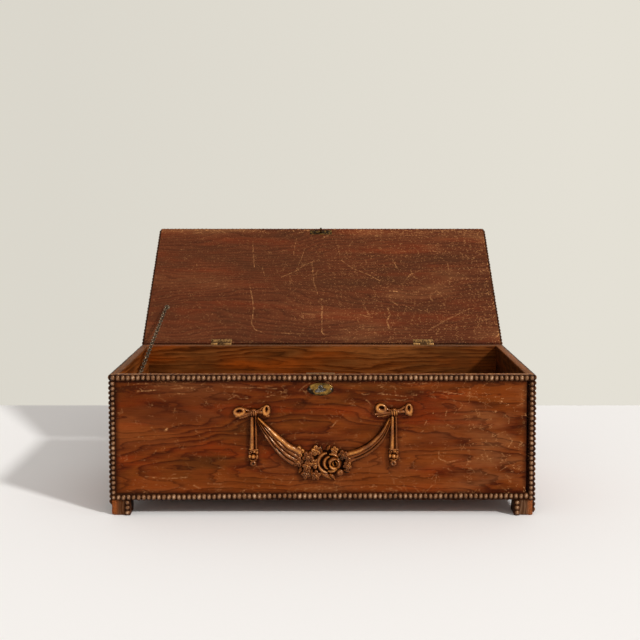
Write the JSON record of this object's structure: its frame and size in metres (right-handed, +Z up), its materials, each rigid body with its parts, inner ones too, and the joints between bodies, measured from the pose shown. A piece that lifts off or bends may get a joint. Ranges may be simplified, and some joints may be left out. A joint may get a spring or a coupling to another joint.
{
  "type": "writing box",
  "caption": "Wooden letter box with a hinged lid held open by a stay chain, beaded mouldings, carved garland, lid lock with key and small feet.",
  "frame": {"origin": "on the ground under the middle of the case, between the four feet", "axes": "+Z up, -Y towards the front with the lock, +X to the right of a viewer at the front; the lid hinge runs along X at the back"},
  "size_m": [0.5684, 0.4926, 0.3635],
  "materials": {
    "front_wood": "satin",
    "case_wood": "satin",
    "lid_wood": "satin",
    "bead_wood": "satin",
    "carved_wood": "satin",
    "hinge_brass": "brushed",
    "lock_brass": "brushed",
    "escutcheon_brass": "brushed",
    "key_steel": "satin",
    "chain_metal": "satin"
  },
  "bodies": {
    "case": {"back_board": "case_wood", "bottom_board": "case_wood", "case_chain_eye": "chain_metal", "escutcheon": "escutcheon_brass", "festoon": "carved_wood", "foot_back_left": "case_wood", "foot_back_right": "case_wood", "foot_front_left": "case_wood", "foot_front_right": "case_wood", "front_board": "front_wood", "front_bottom_beads": "bead_wood", "front_foot_beads": "bead_wood", "front_left_corner_beads": "bead_wood", "front_right_corner_beads": "bead_wood", "front_top_beads": "bead_wood", "left_back_corner_beads": "bead_wood", "left_bottom_beads": "bead_wood", "left_bow": "carved_wood", "left_drop": "carved_wood", "left_front_corner_beads": "bead_wood", "left_hinge_case_leaf": "hinge_brass", "left_hinge_pin": "hinge_brass", "left_side": "case_wood", "left_top_beads": "bead_wood", "lock_case": "lock_brass", "lock_selvedge": "lock_brass", "right_back_corner_beads": "bead_wood", "right_bottom_beads": "bead_wood", "right_bow": "carved_wood", "right_drop": "carved_wood", "right_front_corner_beads": "bead_wood", "right_hinge_case_leaf": "hinge_brass", "right_hinge_pin": "hinge_brass", "right_side": "case_wood", "right_top_beads": "bead_wood", "side_foot_beads": "bead_wood"},
    "lid": {"left_hinge_lid_leaf": "hinge_brass", "lid_board": "lid_wood", "lid_chain_stud": "chain_metal", "lid_front_beads": "bead_wood", "lid_left_beads": "bead_wood", "lid_right_beads": "bead_wood", "link_plate": "lock_brass", "right_hinge_lid_leaf": "hinge_brass"},
    "key": {"key": "key_steel"},
    "bolt": {"lock_bolt": "key_steel"},
    "chain_run_1": {"chain_1": "chain_metal"},
    "chain_run_2": {"chain_2": "chain_metal"},
    "chain_run_3": {"chain_3": "chain_metal"},
    "chain_run_4": {"chain_4": "chain_metal"},
    "chain_run_5": {"chain_5": "chain_metal"}
  },
  "joints": [
    {"name": "lid_hinge", "type": "hinge", "parent": "case", "child": "lid", "pos_m": [0, 0.1313, 0.1887], "axis": [1, 0, 0], "range_deg": [0, 138.6]},
    {"name": "key_turn", "type": "hinge", "parent": "case", "child": "key", "pos_m": [-0.0025, -0.129, 0.1719], "axis": [0, 1, 0], "range_deg": [0, 130]},
    {"name": "bolt_slide", "type": "slide", "parent": "case", "child": "bolt", "axis": [1, 0, 0], "range_m": [0, 0.0055]},
    {"name": "chain_fold_1", "type": "hinge", "parent": "case", "child": "chain_run_1", "pos_m": [-0.2655, 0.0033, 0.16135], "axis": [1, 0, 0], "range_deg": [-37.6, 0]},
    {"name": "chain_fold_2", "type": "hinge", "parent": "chain_run_1", "child": "chain_run_2", "pos_m": [-0.26221, 0.04475, 0.18001], "axis": [1, 0, 0], "range_deg": [0, 7.8]},
    {"name": "chain_fold_3", "type": "hinge", "parent": "chain_run_2", "child": "chain_run_3", "pos_m": [-0.25891, 0.0862, 0.19867], "axis": [1, 0, 0], "range_deg": [0, 92.3]},
    {"name": "chain_fold_4", "type": "hinge", "parent": "chain_run_3", "child": "chain_run_4", "pos_m": [-0.25627, 0.11936, 0.21359], "axis": [1, 0, 0], "range_deg": [0, 93.6]},
    {"name": "chain_fold_5", "type": "hinge", "parent": "chain_run_4", "child": "chain_run_5", "pos_m": [-0.25364, 0.15252, 0.22852], "axis": [1, 0, 0], "range_deg": [0, 32.6]}
  ],
  "couplings": [
    {"joint": "key_turn", "follows": "bolt_slide", "rad_per_m": 412.5},
    {"joint": "chain_fold_1", "follows": "lid_hinge", "ratio": -0.2706},
    {"joint": "chain_fold_2", "follows": "lid_hinge", "ratio": 0.0556},
    {"joint": "chain_fold_3", "follows": "lid_hinge", "ratio": 0.6659},
    {"joint": "chain_fold_4", "follows": "lid_hinge", "ratio": 0.6753},
    {"joint": "chain_fold_5", "follows": "lid_hinge", "ratio": 0.2352}
  ]
}
